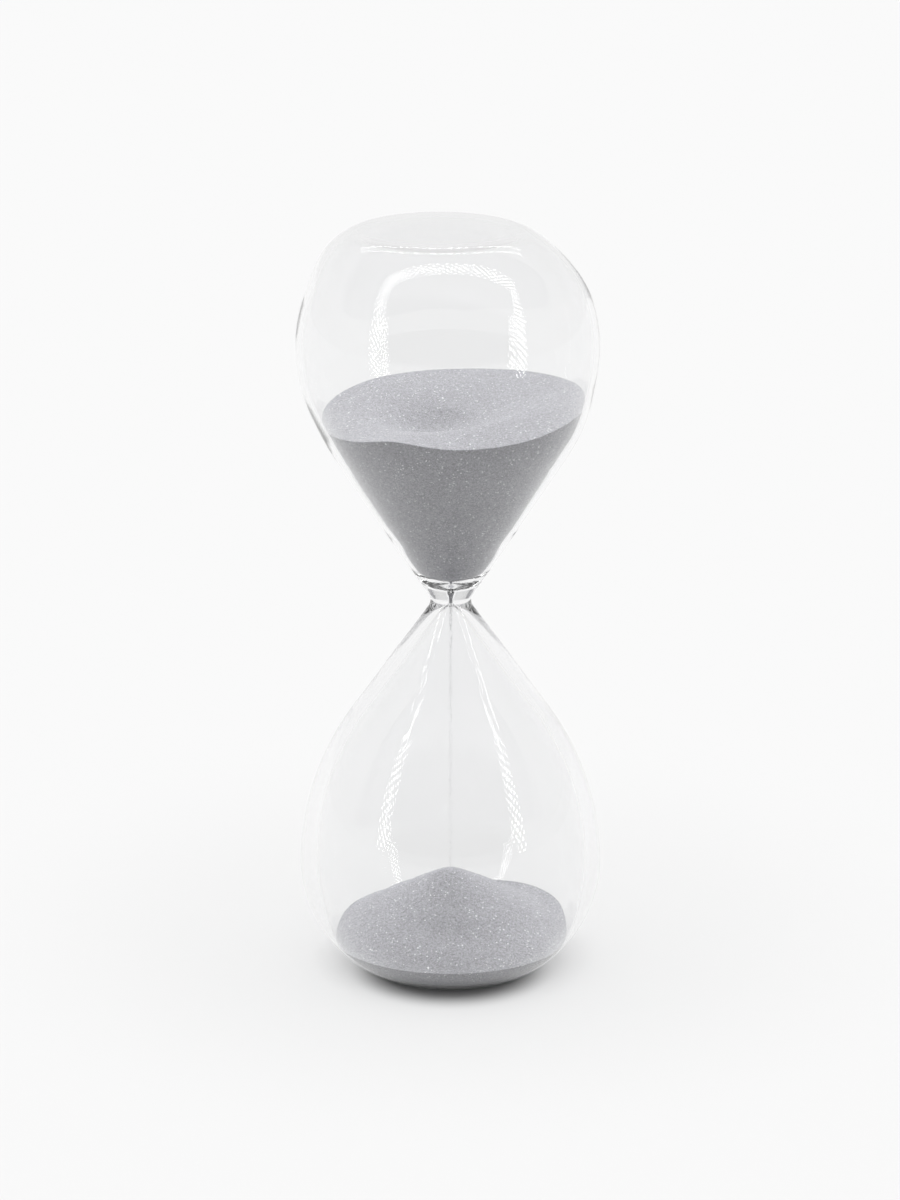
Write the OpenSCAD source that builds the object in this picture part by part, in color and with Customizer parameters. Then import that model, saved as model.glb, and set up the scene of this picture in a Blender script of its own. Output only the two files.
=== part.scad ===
// Free-standing sand timer of clear glass: two teardrop bulbs on one thick metering neck,
// with flat ends, so that either bulb can be the lower one. It is shown part way through a run.
// Origin: centre of the face it stands on. +Z is the axis, towards the upper bulb. Millimetres.

/* [Outline] */
// Overall height, from one flat end to the other
height = 218; // [210:1:226]
// Outside diameter of a bulb at its widest
bulb_d = 86; // [82:0.5:90]
// Diameter of the flat at each end
flat_d = 41; // [36:0.5:46]
// Height of the widest circle above its flat end
belly_h = 31.5; // [28:0.5:34]
// Fullness of the shoulder: 2 is an ellipse, less is flatter
shoulder_power = 1.8; // [1.6:0.05:2.2]
// Slope of the outside of a bulb towards the neck, from the axis
cone_angle = 34; // [32:0.5:36]
// Outside diameter of the neck at its narrowest
neck_d = 11.6; // [10:0.2:13]
// Radius of the hollow round the outside of the neck
neck_fillet = 3.6; // [2:0.2:6]

/* [Glass] */
// Wall thickness of the upper bulb
upper_wall = 1.9; // [1.6:0.1:2.4]
// Wall thickness of the lower bulb, which is blown heavier
lower_wall = 4; // [3.4:0.1:4.6]
// Thickness of the flat ends
end_wall = 3; // [2.4:0.1:4]
// Radius of the round bowl that the upper bulb's inside ends in, above the neck
upper_tip_r = 14.6; // [12:0.2:16]
// Radius of the small round tip that the lower bulb's inside ends in, below the neck
lower_tip_r = 3; // [2.4:0.2:4]
// Length of the thick neck piece between the two bulbs
neck_l = 32; // [28:1:40]

/* [Metering throat] */
// Diameter of the hole that meters the sand
orifice_d = 1.35; // [1:0.05:1.6]
// Diameter of the countersink at each end of the hole
countersink_d = 2.6; // [2:0.1:3]
// Length of the narrow part of the hole
orifice_l = 4; // [3:0.2:5]

/* [Filling hole] */
// Diameter of the flat hollow in the base
recess_d = 22; // [18:1:28]
// Depth of that hollow
recess_h = 0.8; // [0.4:0.1:1.2]
// Diameter of the hole that the sand was poured in by, and of its glass plug
seal_d = 8; // [6:0.5:10]

/* [Sand] */
// Height of the upper sand's edge above the middle of the neck
upper_level = 57.5; // [40:1:64]
// Depth of the crater in the upper sand
crater_h = 7; // [4:0.5:12]
// Radius at which the crater starts
crater_r = 30; // [20:1:32]
// Height of the heap's peak in the lower bulb above the face it stands on
heap_peak = 29.5; // [26:0.5:60]
// Slope of the heap, its angle of repose
heap_slope = 23.5; // [20:0.5:28]
// Diameter of the falling thread of sand
stream_d = 1; // [0.6:0.1:1]
// Clearance between the sand and the glass
sand_gap = 0.25; // [0.1:0.05:0.4]

/* [Hidden] */
$fn = 96;

middle = height / 2;
bulb_r = bulb_d / 2;
flat_r = flat_d / 2;
neck_r = neck_d / 2;
orifice_r = orifice_d / 2;
seal_r = seal_d / 2;
steps = 24;          // straight pieces in each curve of the outline
eps = 0.01;          // how far a cutter runs past the face it cuts
join_lap = 0.05;     // how far one part of the hollow reaches into the next

// The outside cone is the line r * cos + z * sin = cone_reach, tangent to the neck's hollow.
cone_reach = (neck_r + neck_fillet) * cos(cone_angle) + middle * sin(cone_angle) - neck_fillet;
// The belly is one arc, tangent to that line and upright at the widest circle.
belly_r = (cone_reach - bulb_r * cos(cone_angle) - belly_h * sin(cone_angle)) / (1 - cos(cone_angle));
// Centres of the round tips of the two hollows, on the axis, each above its own flat end.
// The inside of a cone keeps the wall's distance from the outside.
upper_tip_h = (cone_reach - upper_wall - upper_tip_r) / sin(cone_angle);
lower_tip_h = (cone_reach - lower_wall - lower_tip_r) / sin(cone_angle);
upper_tip_end = height - upper_tip_h - upper_tip_r;
lower_tip_end = lower_tip_h + lower_tip_r;
// The narrow part of the hole is half way between the tips
throat_middle = (upper_tip_end + lower_tip_end) / 2;
// The countersinks open where the tips are as wide as they are
countersink_r = countersink_d / 2;
throat_top = height - upper_tip_h - sqrt(pow(upper_tip_r, 2) - pow(countersink_r, 2)) + join_lap;
throat_bottom = lower_tip_h + sqrt(pow(lower_tip_r, 2) - pow(countersink_r, 2)) - join_lap;
// The button under the plug bulges half way out of the base's hollow
button_h = recess_h / 2;
button_round = (pow(seal_r, 2) + pow(button_h, 2)) / (2 * button_h);

// All outlines are half sections: x is the radius, y the height above the bulb's flat end.

// From the flat end out to the widest circle, inset from the outside by side_inset and end_inset
function shoulder(side_inset, end_inset) = [
    for (i = [0:steps]) let (a = 90 * i / steps) [
        flat_r + (bulb_r - side_inset - flat_r) * pow(sin(a), 2 / shoulder_power),
        belly_h - (belly_h - end_inset) * pow(cos(a), 2 / shoulder_power)
    ]
];

// From the widest circle up to the start of the cone
function belly(side_inset) = [
    for (i = [1:steps]) let (a = cone_angle * i / steps) [
        bulb_r - belly_r + (belly_r - side_inset) * cos(a),
        belly_h + (belly_r - side_inset) * sin(a)
    ]
];

// Round the hollow of the neck, from the cone to the narrowest circle
function neck_curve() = [
    for (i = [0:steps]) let (a = cone_angle * (1 - i / steps)) [
        neck_r + neck_fillet * (1 - cos(a)),
        middle - neck_fillet * sin(a)
    ]
];

// Round the tip of a bulb's inside, from the cone to the axis
function tip_curve(tip_h, tip_r) = [
    for (i = [0:steps]) let (a = cone_angle + (90 - cone_angle) * i / steps) [
        max(0, tip_r * cos(a)),
        tip_h + tip_r * sin(a)
    ]
];

// A point of the lower half, and the same point of the upper half
function turned_point(p) = [p[0], height - p[1]];

function lower_outline() = concat([[0, 0]], shoulder(0, 0), belly(0), neck_curve());

// Outside of the glass from the base to the top, as one outline
function glass_outline() = let (lower = lower_outline(), last = len(lower) - 1) concat(
    lower, [for (i = [last - 1:-1:0]) turned_point(lower[i])]
);

// The hollow of a bulb above its flat end, shrunk by a gap
function hollow_outline(wall, tip_h, tip_r, gap) = concat(
    [[0, end_wall + gap]],
    shoulder(wall + gap, end_wall + gap),
    belly(wall + gap),
    tip_curve(tip_h, tip_r - gap)
);

// Turns a half section into the solid that it sweeps round the axis.
module revolve() rotate_extrude() children();

module upper_hollow(gap)
    polygon([for (p = hollow_outline(upper_wall, upper_tip_h, upper_tip_r, gap)) turned_point(p)]);

module lower_hollow(gap) polygon(hollow_outline(lower_wall, lower_tip_h, lower_tip_r, gap));

// The glass between two heights, both bulbs and the neck in one section
module glass_section(bottom, top) intersection() {
    difference() {
        polygon(glass_outline());
        lower_hollow(0);
        upper_hollow(0);
        throat_section();
    }
    translate([0, bottom]) square([bulb_d, top - bottom]);
}

// The metering hole, countersunk at both ends into the tips of the bulbs
module throat_section() {
    half = orifice_l / 2;
    polygon([
        [0, throat_bottom],
        [countersink_r, throat_bottom],
        [orifice_r, throat_middle - half],
        [orifice_r, throat_middle + half],
        [countersink_r, throat_top],
        [0, throat_top]
    ]);
}

module upper_bulb() color([0.86, 0.9, 0.9, 0.35])
    revolve() glass_section(middle + neck_l / 2, height);

module neck() color([0.8, 0.87, 0.88, 0.35])
    revolve() glass_section(middle - neck_l / 2, middle + neck_l / 2);

// The lower bulb stands on the ring round a shallow hollow, and has the filling hole in its floor.
module lower_bulb() color([0.86, 0.9, 0.9, 0.35])
    revolve() difference() {
        glass_section(0, middle - neck_l / 2);
        translate([0, -eps]) square([recess_d / 2, recess_h + eps]);
        square([seal_r, end_wall + eps]);
    }

// Glass plug melted into the filling hole, with a low round button below, clear of the table
module fill_seal() color([0.8, 0.87, 0.88, 0.35])
    revolve() intersection() {
        square([seal_r, end_wall]);
        translate([0, recess_h - button_h + button_round]) circle(button_round);
    }

// Sand left above the throat, with the crater that the flow draws in its middle
module upper_sand() color([0.62, 0.62, 0.63])
    revolve() intersection() {
        upper_hollow(sand_gap);
        polygon([
            [0, middle],
            [bulb_r, middle],
            [bulb_r, middle + upper_level],
            [crater_r, middle + upper_level],
            [0, middle + upper_level - crater_h]
        ]);
    }

// Thread of sand from the throat to the peak of the heap
module sand_stream() color([0.62, 0.62, 0.63])
    translate([0, 0, heap_peak + sand_gap])
        cylinder(h = upper_tip_end - heap_peak - sand_gap, d = stream_d);

// Sand run through so far: a cone at its angle of repose on the floor of the lower bulb
module lower_sand() color([0.66, 0.66, 0.67])
    revolve() intersection() {
        lower_hollow(sand_gap);
        polygon([
            [0, 0],
            [bulb_r, 0],
            [bulb_r, heap_peak - bulb_r * tan(heap_slope)],
            [0, heap_peak]
        ]);
    }

upper_bulb();
neck();
lower_bulb();
fill_seal();
upper_sand();
sand_stream();
lower_sand();
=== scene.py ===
"""Looks of a free-standing sand timer: one blown glass body, the sand in it and its falling thread.

The object's numbers are millimetres, as in the CAD source, and its meshes are scaled to metres when
they are made. The studio's numbers are metres.
"""

import math

import bpy
import numpy as np
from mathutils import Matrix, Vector, noise


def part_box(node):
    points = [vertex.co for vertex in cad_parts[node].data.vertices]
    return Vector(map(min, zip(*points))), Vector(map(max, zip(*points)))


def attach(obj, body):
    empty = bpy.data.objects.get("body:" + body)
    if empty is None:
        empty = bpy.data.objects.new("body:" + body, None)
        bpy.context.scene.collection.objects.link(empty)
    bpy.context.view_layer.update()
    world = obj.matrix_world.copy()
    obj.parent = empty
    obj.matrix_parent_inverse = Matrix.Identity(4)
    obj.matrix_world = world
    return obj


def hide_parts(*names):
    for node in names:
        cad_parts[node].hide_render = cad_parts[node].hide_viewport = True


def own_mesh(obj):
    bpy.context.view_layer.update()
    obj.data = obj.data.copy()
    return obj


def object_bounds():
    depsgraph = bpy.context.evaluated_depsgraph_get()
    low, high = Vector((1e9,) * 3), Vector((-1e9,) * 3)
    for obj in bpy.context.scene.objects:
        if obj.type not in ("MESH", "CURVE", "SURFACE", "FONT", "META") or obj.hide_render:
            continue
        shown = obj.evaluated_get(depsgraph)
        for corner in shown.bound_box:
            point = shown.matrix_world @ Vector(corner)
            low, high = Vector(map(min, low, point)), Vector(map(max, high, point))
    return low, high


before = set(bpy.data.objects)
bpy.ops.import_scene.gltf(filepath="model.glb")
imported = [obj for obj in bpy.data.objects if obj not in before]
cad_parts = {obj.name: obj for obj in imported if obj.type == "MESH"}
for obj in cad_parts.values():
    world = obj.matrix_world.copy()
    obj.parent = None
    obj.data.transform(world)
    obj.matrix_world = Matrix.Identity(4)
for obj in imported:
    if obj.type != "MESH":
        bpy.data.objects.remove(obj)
cad_low, cad_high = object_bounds()

MM = 0.001
SEED = 11

# ---------------------------------------------------------------- places taken from the frame, mm
PEAK_LOWER = 1.3         # how much lower the heap's blunt peak is than in the CAD
HEIGHT = (cad_high.z - cad_low.z) / MM
MIDDLE = HEIGHT / 2
HEAP_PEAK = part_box("lower_sand")[1].z / MM - PEAK_LOWER

# ---------------------------------------------------------------- glass, mm
# Each bulb is measured from its own flat end. corner_thinner and cone_thinner are how much less
# than its wall the glass is at the corner of the flat end and at the start of the cone.
WAIST = 110.4            # height of the narrowest circle
NECK_R = 5.8
LOWER_BULB = {
    "height": WAIST, "flat_r": 20.4, "belly_h": 30.3, "belly_r": 43.5,
    "power": 1.76, "cone": math.radians(35.2), "fillet": 3.84,
    "wall": 4.5, "end_wall": 2.2, "corner_thinner": 2.3, "cone_thinner": 0.9,
    "inner_cone": math.radians(35.6), "tip_h": 109.4, "mouth_r": 0.85,
}
UPPER_BULB = {
    "height": HEIGHT - WAIST, "flat_r": 21.0, "belly_h": 32.3, "belly_r": 42.5,
    "power": 1.78, "cone": math.radians(32.9), "fillet": 3.27,
    "wall": 1.9, "end_wall": 2.0, "corner_thinner": 0.0, "cone_thinner": 0.0,
    "inner_cone": math.radians(32.2), "tip_h": HEIGHT - 115.2, "mouth_r": 0.95,
}
ORIFICE_R = 0.5
ORIFICE_TOP = 112.6
ORIFICE_BOTTOM = 110.4
BASE_HOLLOW_R = 11.0
BASE_HOLLOW_H = 0.8
BASE_SLOPE = 1.0         # half width of the slope at that hollow's edge
BASE_STEP = 0.4          # mesh step across the hollow, and how many of them
BASE_STEPS = 32
BASE_EDGE = 1.4          # how far past the hollow's radius those steps go
BUTTON_R = 4.0
OUTER_RIPPLE = 0.10      # depth of the ripples in the outer skin
INNER_RIPPLE = 0.04      # and in the hollow
RIPPLE_LENGTH = 28       # how long they are along the axis
RIPPLE_ROUND = 1.6       # and how fast they change round it
INNER_SHIFT = 7.7        # keeps the inner ripples from following the outer ones
SWELL_R = 6              # the neck inside this radius has no swelling
AROUND = 192             # mesh steps round the axis
STEP = 1.0               # length of a mesh step along a straight stretch
SAND_INSET = 0.12        # gap between the sand and the glass


def smoothstep(a, b, x):
    t = np.clip((np.asarray(x, float) - a) / (b - a), 0, 1)
    return t * t * (3 - 2 * t)


def bell(x, at, width):
    return np.exp(-((np.asarray(x, float) - at) / width) ** 2)


# Outlines of a bulb are lists of (radius, height above its own flat end).

def belly_arc_r(b):
    """Radius of the arc that joins the widest circle to the cone."""
    c, s = math.cos(b["cone"]), math.sin(b["cone"])
    reach = (NECK_R + b["fillet"]) * c + b["height"] * s - b["fillet"]
    return (reach - b["belly_r"] * c - b["belly_h"] * s) / (1 - c)


def shoulder(b, side, end, thinner=0.0, steps=40):
    """From the flat end out to the widest circle, inset by side and end, by less near the flat."""
    points = []
    for i in range(1, steps + 1):
        a = math.pi / 2 * i / steps
        reach = b["belly_r"] - side + thinner * math.cos(a) ** 4 - b["flat_r"]
        points.append((
            b["flat_r"] + reach * math.sin(a) ** (2 / b["power"]),
            b["belly_h"] - (b["belly_h"] - end) * math.cos(a) ** (2 / b["power"]),
        ))
    return points


def belly(b, side, slope, thinner=0.0, steps=48):
    """From the widest circle up to the start of a cone of that slope, inset by side, less at the end."""
    big = belly_arc_r(b)
    points = []
    for i in range(1, steps + 1):
        a = slope * i / steps
        arc = big - side + thinner * i / steps
        points.append((b["belly_r"] - big + arc * math.cos(a), b["belly_h"] + arc * math.sin(a)))
    return points


def straight(start, end):
    """Points from one to another, without the first."""
    count = max(1, round(math.dist(start, end) / STEP))
    return [(start[0] + (end[0] - start[0]) * i / count, start[1] + (end[1] - start[1]) * i / count)
            for i in range(1, count + 1)]


def outside(b, steps=20):
    """From the rim of the flat end to the narrowest circle."""
    points = shoulder(b, 0, 0) + belly(b, 0, b["cone"])
    fillet = []
    for i in range(steps + 1):
        a = b["cone"] * (1 - i / steps)
        fillet.append((NECK_R + b["fillet"] * (1 - math.cos(a)), b["height"] - b["fillet"] * math.sin(a)))
    return points + straight(points[-1], fillet[0]) + fillet[1:]


def soften(points, free, rounds=14):
    """Moves each free point half way to its neighbours' middle, over and over: it rounds off creases."""
    line = np.array(points, float)
    loose = np.array([free(r, z) for r, z in points], float)[1:-1, None]
    for _ in range(rounds):
        line[1:-1] += 0.5 * loose * ((line[:-2] + line[2:]) / 2 - line[1:-1])
    return [(float(r), float(z)) for r, z in line]


def inside(b, inset, steps=24):
    """From the axis at the end wall to the mouth of the throat in the rounded tip."""
    slope, side = b["inner_cone"], b["wall"] + inset
    end = b["end_wall"] + inset
    points = straight((-1, end), (b["flat_r"] - b["wall"], end))
    points += shoulder(b, side, end, b["corner_thinner"]) + belly(b, side, slope, b["cone_thinner"])
    points = soften(points, lambda r, h: r > 0.5)
    reach = points[-1][0] * math.cos(slope) + points[-1][1] * math.sin(slope)
    tip_h = b["tip_h"] - inset
    r = (reach - tip_h * math.sin(slope)) / (1 - math.sin(slope))
    last = math.acos((b["mouth_r"] - inset / 2) / r)
    tip = []
    for i in range(steps + 1):
        a = slope + (last - slope) * i / steps
        tip.append((r * math.cos(a), tip_h - r + r * math.sin(a)))
    return points + straight(points[-1], tip[0]) + tip[1:]


# From here on z is the height above the table.

def lean(z, inner):
    """How far the section at height z is off the axis, towards +x: the top was set down by hand."""
    off = -0.85 * smoothstep(160, 175, z) - 2.3 * smoothstep(198, 216, z)
    return off + 0.05 * smoothstep(150, 172, z) * (1 - smoothstep(200, 214, z)) if inner else off


def swell(r, z, inner):
    """Radius at height z after the unevenness of blown glass."""
    if inner:
        return r
    return r + 0.2 * bell(z, 127, 4) + 0.15 * bell(z, 95, 5)


def lathe(outline, inner, wave, flip=False):
    """A closed mesh swept from an outline of (radius, z), whose two end points are put on the axis."""
    rings = outline[1:-1]
    rows = len(rings)
    angles = [2 * math.pi * i / AROUND for i in range(AROUND)]
    shift = INNER_SHIFT if inner else 0
    verts = [(float(lean(outline[0][1], inner)), 0.0, outline[0][1])]
    for r, z in rings:
        body = float(smoothstep(2.5, 9, r))
        centre = float(lean(z, inner)) * float(smoothstep(0, 12, abs(z - MIDDLE)))
        radius = float(swell(r, z, inner)) if r > SWELL_R else r
        for a in angles:
            c, s = math.cos(a), math.sin(a)
            place = Vector((c * RIPPLE_ROUND, s * RIPPLE_ROUND, z / RIPPLE_LENGTH + shift))
            ripple = wave * body * noise.noise(place)
            verts.append((centre + (radius + ripple) * c, (radius + ripple) * s, z))
    verts.append((float(lean(outline[-1][1], inner)), 0.0, outline[-1][1]))
    faces = []
    for i in range(AROUND):
        j = (i + 1) % AROUND
        faces.append((0, 1 + j, 1 + i))
        for k in range(rows - 1):
            a, b = 1 + k * AROUND, 1 + (k + 1) * AROUND
            faces.append((a + i, a + j, b + j, b + i))
        top = 1 + (rows - 1) * AROUND
        faces.append((len(verts) - 1, top + i, top + j))
    if flip:
        faces = [tuple(reversed(f)) for f in faces]
    return verts, faces


def add_mesh(name, verts, faces, material, smooth=True):
    """A new object from points in millimetres."""
    mesh = bpy.data.meshes.new(name)
    mesh.from_pydata([(x * MM, y * MM, z * MM) for x, y, z in verts], [], faces)
    mesh.materials.append(material)
    if smooth:
        mesh.shade_smooth()
    else:
        mesh.shade_flat()
    mesh.validate()
    obj = bpy.data.objects.new(name, mesh)
    bpy.context.scene.collection.objects.link(obj)
    return obj


def base_outline():
    """The under side, from the middle of the melted button to just outside the hollow."""
    slope_start, slope_end = BASE_HOLLOW_R - BASE_SLOPE, BASE_HOLLOW_R + BASE_SLOPE
    points = []
    for i in range(BASE_STEPS):
        r = BASE_STEP * i
        button = 0.5 * BASE_HOLLOW_H * max(0.0, 1 - (r / BUTTON_R) ** 2) ** 0.5
        points.append((r, BASE_HOLLOW_H * (1 - float(smoothstep(slope_start, slope_end, r))) - button))
    return points


def glass_outline():
    """The outer skin from the middle of the base to the middle of the top.

    All but the neck, the hollow in the base and the middle of the top is softened.
    """
    top_rim = (UPPER_BULB["flat_r"], HEIGHT)
    flat = straight((BASE_HOLLOW_R + BASE_EDGE, 0), (LOWER_BULB["flat_r"], 0))
    upper = [(r, HEIGHT - h) for r, h in outside(UPPER_BULB)]
    top = straight(top_rim, (0, HEIGHT))
    points = base_outline() + flat + outside(LOWER_BULB) + upper[::-1][1:] + [top_rim] + top
    return soften(points, lambda r, z: r > 1 and abs(z - WAIST) > 30 and (z > 1 or r > 16))


def throat(inset):
    """The metering hole, from below."""
    r = ORIFICE_R - inset / 2
    return [(r, ORIFICE_BOTTOM), (r, (ORIFICE_BOTTOM + ORIFICE_TOP) / 2), (r, ORIFICE_TOP)]


def upper_hollow_outline(inset):
    return [(r, HEIGHT - h) for r, h in inside(UPPER_BULB, inset)][::-1]


def lower_hollow_outline(inset):
    return inside(LOWER_BULB, inset)


# ---------------------------------------------------------------- materials

def new_material(name):
    material = bpy.data.materials.new(name)
    material.use_nodes = True
    tree = material.node_tree
    tree.nodes.clear()
    return material, tree


def node(tree, kind, **values):
    """A new node; a value goes to the input of that name, or else to the setting."""
    made = tree.nodes.new(kind)
    for key, value in values.items():
        if key in made.inputs:
            made.inputs[key].default_value = value
        else:
            setattr(made, key, value)
    return made


GLASS_TINT = (0.970, 0.971, 0.973, 1)
GLASS_SHADE = (0.967, 0.968, 0.970, 1)     # what one skin lets through to the sand and the floor
GLASS_IOR = 1.47


def glass_material():
    """Clear glass; light for the sand and the floor goes straight through it."""
    material, tree = new_material("clear_glass")
    link = tree.links.new
    out = node(tree, "ShaderNodeOutputMaterial")
    glass = node(tree, "ShaderNodeBsdfPrincipled", Roughness=0.0, IOR=GLASS_IOR)
    glass.inputs["Base Color"].default_value = GLASS_TINT
    glass.inputs["Transmission Weight"].default_value = 1.0
    clear = node(tree, "ShaderNodeBsdfTransparent")
    clear.inputs["Color"].default_value = GLASS_SHADE
    path = node(tree, "ShaderNodeLightPath")
    either = node(tree, "ShaderNodeMath", operation="MAXIMUM")
    mix = node(tree, "ShaderNodeMixShader")
    link(path.outputs["Is Shadow Ray"], either.inputs[0])
    link(path.outputs["Is Diffuse Ray"], either.inputs[1])
    link(either.outputs[0], mix.inputs["Fac"])
    link(glass.outputs[0], mix.inputs[1])
    link(clear.outputs[0], mix.inputs[2])
    link(mix.outputs[0], out.inputs["Surface"])
    return material


GRAINS_PER_M = 3400
DARK_GRAIN = (0.185, 0.185, 0.195, 1)
PALE_GRAIN = (0.325, 0.325, 0.344, 1)
BRIGHT_GRAIN = (0.74, 0.74, 0.76, 1)
BRIGHT_FROM = 0.983      # a grain whose random number is above this starts to sparkle
BRIGHT_FULL = 0.994      # and above this it sparkles fully
PATCH_DARK = 0.93        # colour factor of the darkest of the larger patches, and of the palest
PATCH_PALE = 1.07
SAND_ROUGH = 0.85
SPARKLE_ROUGH = 0.25


def sand_material():
    """Grains of mixed greys, a few of them bright and smooth, with faint larger patches."""
    material, tree = new_material("grey_sand")
    link = tree.links.new
    out = node(tree, "ShaderNodeOutputMaterial")
    sand = node(tree, "ShaderNodeBsdfPrincipled", Roughness=SAND_ROUGH)
    where = node(tree, "ShaderNodeTexCoord")
    grains = node(tree, "ShaderNodeTexVoronoi", Scale=GRAINS_PER_M)
    split = node(tree, "ShaderNodeSeparateColor")
    shade = node(tree, "ShaderNodeValToRGB")
    shade.color_ramp.elements[0].color = DARK_GRAIN
    shade.color_ramp.elements[1].color = PALE_GRAIN
    bright = node(tree, "ShaderNodeMapRange")
    bright.inputs["From Min"].default_value = BRIGHT_FROM
    bright.inputs["From Max"].default_value = BRIGHT_FULL
    patches = node(tree, "ShaderNodeTexNoise", Scale=130.0, Detail=3.0)
    patch_range = node(tree, "ShaderNodeMapRange")
    patch_range.inputs["To Min"].default_value = PATCH_DARK
    patch_range.inputs["To Max"].default_value = PATCH_PALE
    patched = node(tree, "ShaderNodeMix", data_type="RGBA", blend_type="MULTIPLY")
    patched.inputs["Factor"].default_value = 1.0
    sparkle = node(tree, "ShaderNodeMix", data_type="RGBA")
    gloss = node(tree, "ShaderNodeMapRange")
    gloss.inputs["To Min"].default_value = SAND_ROUGH
    gloss.inputs["To Max"].default_value = SPARKLE_ROUGH
    bump = node(tree, "ShaderNodeBump", Strength=0.4, Distance=0.0001)
    link(where.outputs["Object"], grains.inputs["Vector"])
    link(where.outputs["Object"], patches.inputs["Vector"])
    link(grains.outputs["Color"], split.inputs[0])
    link(split.outputs[0], shade.inputs["Fac"])
    link(split.outputs[1], bright.inputs["Value"])
    link(patches.outputs["Fac"], patch_range.inputs["Value"])
    link(shade.outputs[0], patched.inputs["A"])
    link(patch_range.outputs[0], patched.inputs["B"])
    link(patched.outputs["Result"], sparkle.inputs["A"])
    sparkle.inputs["B"].default_value = BRIGHT_GRAIN
    link(bright.outputs[0], sparkle.inputs["Factor"])
    link(sparkle.outputs["Result"], sand.inputs["Base Color"])
    link(bright.outputs[0], gloss.inputs["Value"])
    link(gloss.outputs[0], sand.inputs["Roughness"])
    link(grains.outputs["Distance"], bump.inputs["Height"])
    link(bump.outputs[0], sand.inputs["Normal"])
    link(sand.outputs[0], out.inputs["Surface"])
    return material


# ---------------------------------------------------------------- glass body

def make_glass(material):
    """Outer skin and the sealed hollow inside it, as one closed mesh."""
    void = lower_hollow_outline(0) + throat(0) + upper_hollow_outline(0)
    skin_verts, skin_faces = lathe(glass_outline(), False, OUTER_RIPPLE)
    void_verts, void_faces = lathe(void, True, INNER_RIPPLE, flip=True)
    start = len(skin_verts)
    faces = skin_faces + [tuple(i + start for i in f) for f in void_faces]
    body = add_mesh("glass_body", skin_verts + void_verts, faces, material)
    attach(body, "glass")
    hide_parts("upper_bulb", "neck", "lower_bulb", "fill_seal")


# ---------------------------------------------------------------- sand, mm

SAND_HALF = 43.0         # half side of the square block that the sand is cut from
SAND_STEP = 0.45         # mesh step of its top surface
GRAIN_UP = 0.018         # how uneven that surface is, upwards and sideways
GRAIN_ASIDE = 0.13
UPPER_BLOCK_DEEP = 20    # how far the upper block reaches below the middle of the neck
LOWER_BLOCK_BOTTOM = -30  # low enough to be under the floor of the bulb at the end of the run

CRATER_R = 38.5          # radius of the upper sand at its edge
CRATER_EDGE = 167.6      # height of that edge, which rises towards +x and +y
EDGE_RISE_X = 3.3
EDGE_RISE_Y = 1.9
CRATER_LOW = 159.4       # height of the funnel's lowest point, and where it is
CRATER_LOW_X = -5.0
CRATER_LOW_Y = -2.0
CREST_AT = -48           # direction of the steep side with the sharp crest, degrees
CREST_WIDTH = 68
STEEP_SLOPE = 0.44
STEEP_ROUND = 5.0        # how round the bottom of the steep side is
BOWL_H = 9.2             # depth and radius of the round bowl on the other sides
BOWL_R = 17.0

HEAP_SLOPE = 0.575
HEAP_ROUND = 3.0         # how blunt the peak is
HEAP_BLEND = 0.3         # how softly the heap meets the bank
BANK = 10.6              # height of the sand round the heap at BANK_R from the axis
BANK_R = 35
BANK_SLOPE = 0.14


def soft_max(a, b, blend):
    """The higher of two surfaces, rounded where they cross."""
    high, low = np.maximum(a, b), np.minimum(a, b)
    return high + blend * np.log1p(np.exp((low - high) / blend))


def crater(x, y):
    """Height of the upper sand: a funnel cut in a tilted top, with a sharp crest at the front right."""
    a = np.degrees(np.arctan2(y, x))
    edge = np.clip(np.hypot(x, y) / CRATER_R, 0, 1.1)
    rim = CRATER_EDGE + EDGE_RISE_X * x / CRATER_R + EDGE_RISE_Y * y / CRATER_R
    rim = rim + edge ** 3 * (2.5 * bell(a, -115, 17) - 2.3 * bell(a, -60, 36) + 0.7 * bell(a, 132, 25))
    low_x, low_y = x - CRATER_LOW_X, y - CRATER_LOW_Y
    from_low = np.hypot(low_x, low_y)
    toward = np.degrees(np.arctan2(low_y, low_x))
    front = bell(toward, CREST_AT, CREST_WIDTH)
    steep = STEEP_SLOPE * (np.sqrt(from_low ** 2 + STEEP_ROUND ** 2) - STEEP_ROUND)
    bowl = BOWL_H * (1 - np.exp(-((from_low / BOWL_R) ** 2)))
    funnel = CRATER_LOW + front * steep + (1 - front) * bowl
    blend = 0.25 + 1.6 * (1 - front)
    back_slip = 0.5 * bell(from_low, 13, 3.0) * bell(toward, 60, 50)
    return -soft_max(-funnel, -(rim + 0.5 * front * (1 - edge)), blend) + back_slip


def heap(x, y):
    """Height of the lower sand's surface: a cone with a blunt peak, and a bank at the back right."""
    r, a = np.hypot(x, y), np.degrees(np.arctan2(y, x))
    cone = HEAP_PEAK + HEAP_SLOPE * (HEAP_ROUND - np.sqrt(r * r + HEAP_ROUND * HEAP_ROUND))
    bank = BANK + 3.4 * bell(a, 25, 50) + 1.3 * bell(np.abs(a), 180, 35) + BANK_SLOPE * (r - BANK_R)
    ripple = 0.2 * np.sin(np.hypot(x - 3, y + 2) * 0.55) * smoothstep(8, 20, r)
    return soft_max(cone, bank, HEAP_BLEND) + ripple


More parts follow.
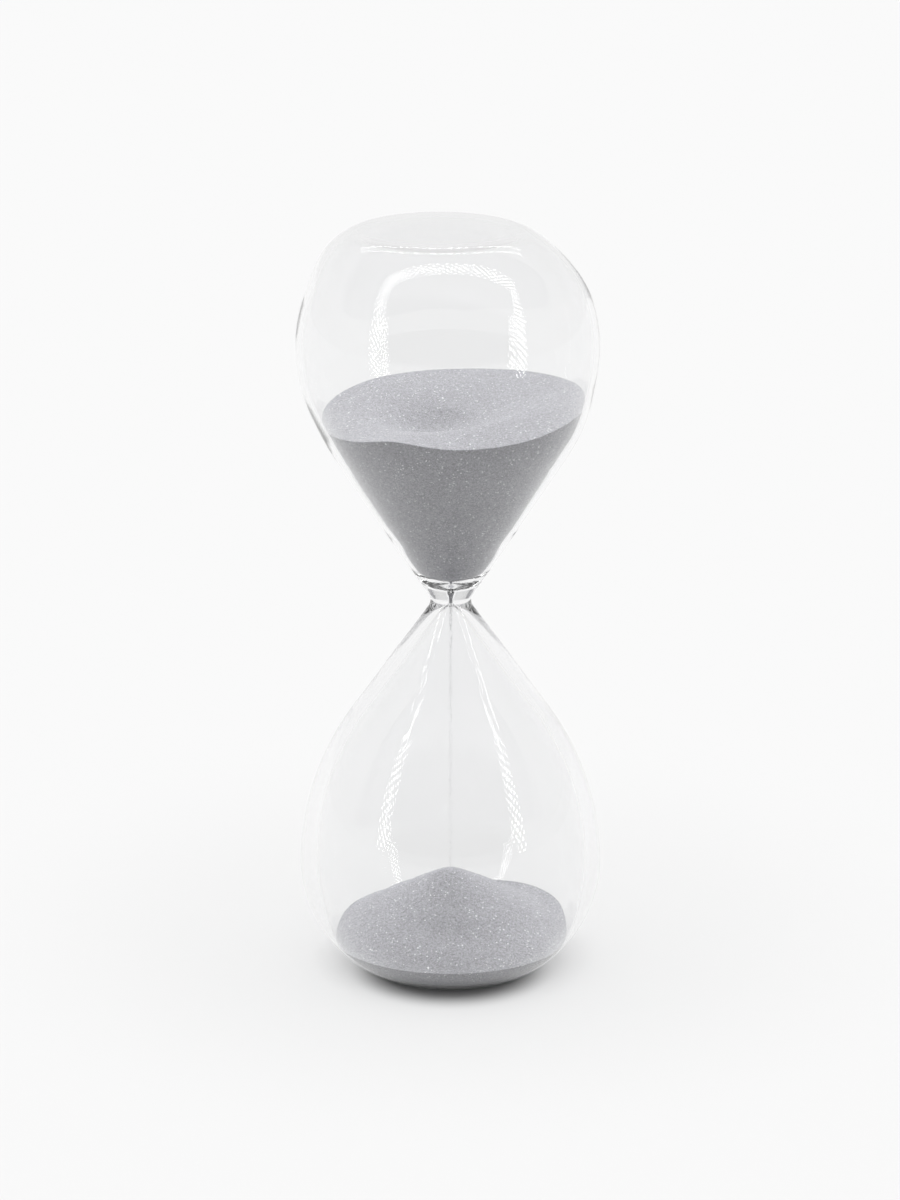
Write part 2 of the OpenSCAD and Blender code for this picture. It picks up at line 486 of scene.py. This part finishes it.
def sand_block(name, surface, bottom, material):
    """A square block with that surface on top, rough at the scale of its grains."""
    count = int(round(2 * SAND_HALF / SAND_STEP)) + 1
    line = np.linspace(-SAND_HALF, SAND_HALF, count)
    x, y = np.meshgrid(line, line, indexing="ij")
    rng = np.random.default_rng(SEED)
    z = surface(x, y) + rng.normal(0, GRAIN_UP, x.shape)
    x = x + rng.uniform(-GRAIN_ASIDE, GRAIN_ASIDE, x.shape)
    y = y + rng.uniform(-GRAIN_ASIDE, GRAIN_ASIDE, y.shape)
    verts = [(float(a), float(b), float(c)) for a, b, c in zip(x.ravel(), y.ravel(), z.ravel())]
    index = np.arange(count * count).reshape(count, count)
    faces = [(int(index[i, j]), int(index[i + 1, j]), int(index[i + 1, j + 1]), int(index[i, j + 1]))
             for i in range(count - 1) for j in range(count - 1)]
    sides = (index[:-1, 0], index[-1, :-1], index[:0:-1, -1], index[0, :0:-1])
    rim = [int(v) for v in np.concatenate(sides)]
    start = len(verts)
    verts += [(verts[i][0], verts[i][1], bottom) for i in rim]
    for k in range(len(rim)):
        n = (k + 1) % len(rim)
        faces.append((rim[n], rim[k], start + k, start + n))
    faces.append(tuple(start + k for k in reversed(range(len(rim)))))
    return add_mesh(name, verts, faces, material, smooth=False)


def fill(block, hollow_name, outline, body, node_name, material):
    """Cuts a block of sand to the hollow that it lies in, at every level of the sand."""
    verts, faces = lathe(outline, True, INNER_RIPPLE)
    hollow = add_mesh(hollow_name, verts, faces, material)
    hollow.hide_render = True
    cut = block.modifiers.new("hollow", "BOOLEAN")
    cut.operation = "INTERSECT"
    cut.solver = "EXACT"
    cut.object = hollow
    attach(block, body)
    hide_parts(node_name)


def make_sand(material):
    """The sand in both bulbs; the upper body reaches down into the metering hole."""
    upper = sand_block("upper_sand_body", crater, MIDDLE - UPPER_BLOCK_DEEP, material)
    outline = [(0, ORIFICE_BOTTOM)] + throat(SAND_INSET) + upper_hollow_outline(SAND_INSET)
    fill(upper, "upper_hollow", outline, "upper_sand", "upper_sand", material)
    lower = sand_block("lower_sand_body", heap, LOWER_BLOCK_BOTTOM, material)
    outline = lower_hollow_outline(SAND_INSET) + [(0, LOWER_BULB["tip_h"] - SAND_INSET)]
    fill(lower, "lower_hollow", outline, "lower_sand", "lower_sand", material)
    return upper, lower


GRAIN_R = 0.07
GRAIN_COUNT = 900
GRAIN_CORNERS = ((1, 0, 0), (-1, 0, 0), (0, 1, 0), (0, -1, 0), (0, 0, 1), (0, 0, -1))
GRAIN_FACES = ((0, 2, 4), (2, 1, 4), (1, 3, 4), (3, 0, 4), (2, 0, 5), (1, 2, 5), (3, 1, 5), (0, 3, 5))
EXIT_SPEED = 0.12        # m/s
GRAVITY = 9810.0         # mm/s2
STREAM_GAP = 0.3         # between the lowest grains and the peak of the heap


def make_stream(material):
    """Single grains falling from the throat, further apart as they gather speed."""
    rng = np.random.default_rng(SEED + 1)
    top = ORIFICE_BOTTOM - 0.1
    bottom = HEAP_PEAK + STREAM_GAP
    speed = EXIT_SPEED / MM
    fall = (math.sqrt(speed ** 2 + 2 * GRAVITY * (top - bottom)) - speed) / GRAVITY
    verts, faces = [], []
    for _ in range(GRAIN_COUNT):
        t = rng.uniform(0, fall)
        z = top - speed * t - GRAVITY * t * t / 2
        spread = ORIFICE_R * (1.1 - 0.3 * math.exp(-(top - z) / 6))
        x, y = rng.normal(0, spread * 0.55, 2)
        x, y = float(np.clip(x, -spread, spread)), float(np.clip(y, -spread, spread))
        size = GRAIN_R * rng.uniform(0.7, 1.25)
        start = len(verts)
        for dx, dy, dz in GRAIN_CORNERS:
            k = size * rng.uniform(0.8, 1.2)
            verts.append((x + dx * k, y + dy * k, z + dz * k))
        for a, b, c in GRAIN_FACES:
            faces.append((start + a, start + b, start + c))
    stream = add_mesh("sand_stream_grains", verts, faces, material, smooth=False)
    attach(stream, "glass")
    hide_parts("sand_stream")
    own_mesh(stream)


# ---------------------------------------------------------------- studio, metres

FLOOR_HALF = 12.0
FLOOR_PAINT = (0.385, 0.385, 0.385, 1)
FLOOR_GLOW = 0.36        # glow of the floor that lightens the object's real shadow on it; it is left out round the base, which paints a contact shadow there
# centre of the painted contact shadow, a little in front of the base
PAINTED_SHADOW_AT = (0, -0.0075, 0)
PAINTED_SHADOW_R = 0.018          # painted contact shadow: how far from there the glow starts, and where it is full
PAINTED_SHADOW_OUTER_R = 0.030


def make_floor():
    """A pale floor without an edge in sight, with a painted contact shadow round the base where its glow
    is left out.
    """
    material, tree = new_material("pale_floor")
    out = node(tree, "ShaderNodeOutputMaterial")
    paint = node(tree, "ShaderNodeBsdfDiffuse")
    paint.inputs["Color"].default_value = FLOOR_PAINT
    glow = node(tree, "ShaderNodeEmission")
    where = node(tree, "ShaderNodeTexCoord")
    far = node(tree, "ShaderNodeVectorMath", operation="DISTANCE")
    far.inputs[1].default_value = PAINTED_SHADOW_AT
    # no glow near the base: this paints the contact shadow on the floor
    glow_past_painted_shadow = node(tree, "ShaderNodeMapRange", interpolation_type="SMOOTHSTEP")
    glow_past_painted_shadow.inputs["From Min"].default_value = PAINTED_SHADOW_R
    glow_past_painted_shadow.inputs["From Max"].default_value = PAINTED_SHADOW_OUTER_R
    glow_past_painted_shadow.inputs["To Max"].default_value = FLOOR_GLOW
    tree.links.new(where.outputs["Object"], far.inputs[0])
    tree.links.new(far.outputs["Value"], glow_past_painted_shadow.inputs["Value"])
    tree.links.new(glow_past_painted_shadow.outputs[0], glow.inputs["Strength"])
    both = node(tree, "ShaderNodeAddShader")
    tree.links.new(paint.outputs[0], both.inputs[0])
    tree.links.new(glow.outputs[0], both.inputs[1])
    tree.links.new(both.outputs[0], out.inputs["Surface"])
    mesh = bpy.data.meshes.new("floor")
    h = FLOOR_HALF
    mesh.from_pydata([(-h, -h, 0), (h, -h, 0), (h, h, 0), (-h, h, 0)], [], [(0, 1, 2, 3)])
    mesh.materials.append(material)
    floor = bpy.data.objects.new("floor", mesh)
    bpy.context.scene.collection.objects.link(floor)


LED_X = 0.46             # half width of the frame of lamps
LED_TOP = 0.70           # height of its roof
LED_FOOT = 0.06          # height of the lower ends of its legs
LED_BACK_X = 0.36        # half length of the band at the back, and its place
LED_BACK_Y = 0.5
LED_PITCH = 0.030        # from one lamp to the next
LED_DOT = 0.27           # radius of a lamp, in pitches
LED_POWER = 9.0
LEG_WIDTH = 0.085
ROOF_WIDTH = 0.115
BACK_WIDTH = 0.07


def led_material():
    """Round lamps in rows at 45 degrees, with nothing between them."""
    material, tree = new_material("led_dots")
    link = tree.links.new
    out = node(tree, "ShaderNodeOutputMaterial")
    where = node(tree, "ShaderNodeUVMap")
    turn = node(tree, "ShaderNodeMapping")
    turn.inputs["Rotation"].default_value = (0, 0, math.radians(45))
    turn.inputs["Scale"].default_value = (1 / LED_PITCH, 1 / LED_PITCH, 1)
    cell = node(tree, "ShaderNodeVectorMath", operation="FRACTION")
    centre = node(tree, "ShaderNodeVectorMath", operation="SUBTRACT")
    centre.inputs[1].default_value = (0.5, 0.5, 0)
    far = node(tree, "ShaderNodeVectorMath", operation="LENGTH")
    dot = node(tree, "ShaderNodeMath", operation="LESS_THAN")
    dot.inputs[1].default_value = LED_DOT
    lamp = node(tree, "ShaderNodeEmission")
    gap = node(tree, "ShaderNodeBsdfTransparent")
    mix = node(tree, "ShaderNodeMixShader")
    lamp.inputs["Strength"].default_value = LED_POWER
    link(where.outputs[0], turn.inputs["Vector"])
    link(turn.outputs[0], cell.inputs[0])
    link(cell.outputs[0], centre.inputs[0])
    link(centre.outputs[0], far.inputs[0])
    link(far.outputs["Value"], dot.inputs[0])
    link(dot.outputs[0], mix.inputs["Fac"])
    link(gap.outputs[0], mix.inputs[1])
    link(lamp.outputs[0], mix.inputs[2])
    link(mix.outputs[0], out.inputs["Surface"])
    material.cycles.emission_sampling = "NONE"
    return material


def strip(verts, faces, marks, centres, width):
    """A band along a line, that wide along y; marks take the place along it and across it."""
    start, along = len(verts), 0.0
    for k, centre in enumerate(centres):
        if k:
            along += math.dist(centre, centres[k - 1])
        for side in (-width / 2, width / 2):
            verts.append((centre[0], centre[1] + side, centre[2]))
            marks.append((along, side))
    for k in range(len(centres) - 1):
        i = start + 2 * k
        faces.append((i, i + 1, i + 3, i + 2))


def make_led_frame():
    """Bands of small lamps in the sides and roof of the tent, unseen by the camera and the floor."""
    verts, faces, marks = [], [], []
    left = [(-LED_X, -0.34, LED_FOOT), (-LED_X, -0.24, LED_TOP)]
    right = [(LED_X, -0.33, LED_FOOT), (LED_X, -0.30, 0.30), (LED_X, -0.19, 0.55), (LED_X, -0.06, LED_TOP)]
    roof = [(x, -0.055 + 0.21 * x - 0.40 * x * x, LED_TOP) for x in np.linspace(-LED_X, LED_X, 25)]
    back = [(-LED_BACK_X, LED_BACK_Y, LED_TOP), (LED_BACK_X, LED_BACK_Y, LED_TOP)]
    for line, width in ((left, LEG_WIDTH), (right, LEG_WIDTH), (roof, ROOF_WIDTH), (back, BACK_WIDTH)):
        strip(verts, faces, marks, line, width)
    mesh = bpy.data.meshes.new("led_frame")
    mesh.from_pydata(verts, [], faces)
    mesh.materials.append(led_material())
    uv = mesh.uv_layers.new(name="places")
    for loop in mesh.loops:
        uv.data[loop.index].uv = marks[loop.vertex_index]
    leds = bpy.data.objects.new("led_frame", mesh)
    bpy.context.scene.collection.objects.link(leds)
    leds.visible_camera = False
    leds.visible_diffuse = False
    leds.visible_shadow = False


TENT = 0.86              # radiance of the white walls round the object
BACK_MORE = 0.10         # how much brighter their back is
HORIZON_MORE = 0.22      # and how much brighter they are low down, seen through glass
OPENING = 0.45           # radiance of the dark opening in front, where the camera looks in
BACKDROP = 0.955         # what the camera sees past the floor, as pale as the floor


def make_world():
    """A white tent; the lamps stand round its dark opening in front."""
    world = bpy.data.worlds.new("studio")
    world.use_nodes = True
    bpy.context.scene.world = world
    tree = world.node_tree
    tree.nodes.clear()
    link = tree.links.new

    def math_of(kind, *values):
        made = node(tree, "ShaderNodeMath", operation=kind)
        for k, value in enumerate(values):
            if isinstance(value, (int, float)):
                made.inputs[k].default_value = value
            else:
                link(value, made.inputs[k])
        return made.outputs[0]

    def beyond(value, start, end):
        made = node(tree, "ShaderNodeMapRange", interpolation_type="SMOOTHSTEP")
        made.inputs["From Min"].default_value = start
        made.inputs["From Max"].default_value = end
        link(value, made.inputs["Value"])
        return made.outputs[0]

    where = node(tree, "ShaderNodeTexCoord")
    split = node(tree, "ShaderNodeSeparateXYZ")
    link(where.outputs["Generated"], split.inputs[0])
    ahead = math_of("MAXIMUM", math_of("MULTIPLY", split.outputs["Y"], -1.0), 0.001)
    across = math_of("ABSOLUTE", math_of("DIVIDE", split.outputs["X"], ahead))
    above = math_of("DIVIDE", split.outputs["Z"], ahead)
    wall = math_of("MAXIMUM", beyond(across, 1.2, 1.7), beyond(above, 1.0, 1.5))
    wall = math_of("MAXIMUM", wall, beyond(split.outputs["Y"], -0.1, 0.0))
    light = math_of("MULTIPLY_ADD", wall, TENT - OPENING, OPENING)
    light = math_of("ADD", light, math_of("MULTIPLY", beyond(split.outputs["Y"], 0.1, 0.8), BACK_MORE))
    path = node(tree, "ShaderNodeLightPath")
    low = math_of("SUBTRACT", 1.0, beyond(split.outputs["Z"], 0.15, 0.45))
    through = math_of("MULTIPLY", math_of("MULTIPLY", low, wall), path.outputs["Is Transmission Ray"])
    light = math_of("ADD", light, math_of("MULTIPLY", through, HORIZON_MORE))
    out = node(tree, "ShaderNodeOutputWorld")
    tent = node(tree, "ShaderNodeBackground")
    backdrop = node(tree, "ShaderNodeBackground")
    backdrop.inputs["Color"].default_value = (1, 1, 1, 1)
    backdrop.inputs["Strength"].default_value = BACKDROP
    mix = node(tree, "ShaderNodeMixShader")
    link(light, tent.inputs["Strength"])
    link(path.outputs["Is Camera Ray"], mix.inputs["Fac"])
    link(tent.outputs[0], mix.inputs[1])
    link(backdrop.outputs[0], mix.inputs[2])
    link(mix.outputs[0], out.inputs["Surface"])


def soft_light(name, strength, azimuth, elevation, spread, only=None):
    """A distant light; azimuth is 0 in front and 90 on the right, and it may light only some pieces."""
    lamp = bpy.data.lights.new(name, "SUN")
    lamp.angle = math.radians(spread)
    lamp.energy = math.pi * strength
    obj = bpy.data.objects.new(name, lamp)
    obj.rotation_euler = (math.radians(90 - elevation), 0, math.radians(azimuth))
    bpy.context.scene.collection.objects.link(obj)
    obj.visible_glossy = False
    obj.visible_transmission = False
    if only:
        obj.light_linking.receiver_collection = only


def make_lights(sand_pieces):
    """A wide light overhead, and weaker ones for the sand alone, from behind and from both sides."""
    lit = bpy.data.collections.new("lit_sand")
    for piece in sand_pieces:
        lit.objects.link(piece)
    soft_light("overhead", 0.9, 0, 82, 70)
    soft_light("overhead_on_sand", 0.72, 180, 44, 25, lit)
    soft_light("left_on_sand", 0.55, -118, 12, 40, lit)
    soft_light("right_on_sand", 0.68, 118, 12, 40, lit)


def allow_bounces():
    """Light that runs round inside the thick glass needs many reflections before it comes out."""
    cycles = bpy.context.scene.cycles
    cycles.max_bounces = 48
    cycles.glossy_bounces = 40
    cycles.transmission_bounces = 40
    cycles.transparent_max_bounces = 24


CAMERA_LENS = 125.13     # mm, for a sensor 36 mm wide
CAMERA_AT = (-0.0002, -1.1285, 0.4687)
CAMERA_DOWN = 17.624     # degrees below level


def make_camera():
    """The view that the photo has of the object."""
    camera = bpy.data.cameras.new("camera")
    camera.lens = CAMERA_LENS
    camera.sensor_width = 36.0
    camera.clip_end = 50.0
    obj = bpy.data.objects.new("camera", camera)
    obj.location = CAMERA_AT
    obj.rotation_euler = (math.radians(90 - CAMERA_DOWN), 0, 0)
    bpy.context.scene.collection.objects.link(obj)
    bpy.context.scene.camera = obj


make_camera()
make_world()
allow_bounces()
make_floor()
make_led_frame()
glass = glass_material()
sand = sand_material()
make_glass(glass)
sand_pieces = make_sand(sand)
make_stream(sand)
make_lights(sand_pieces)
bpy.context.scene.view_settings.view_transform = "Standard"
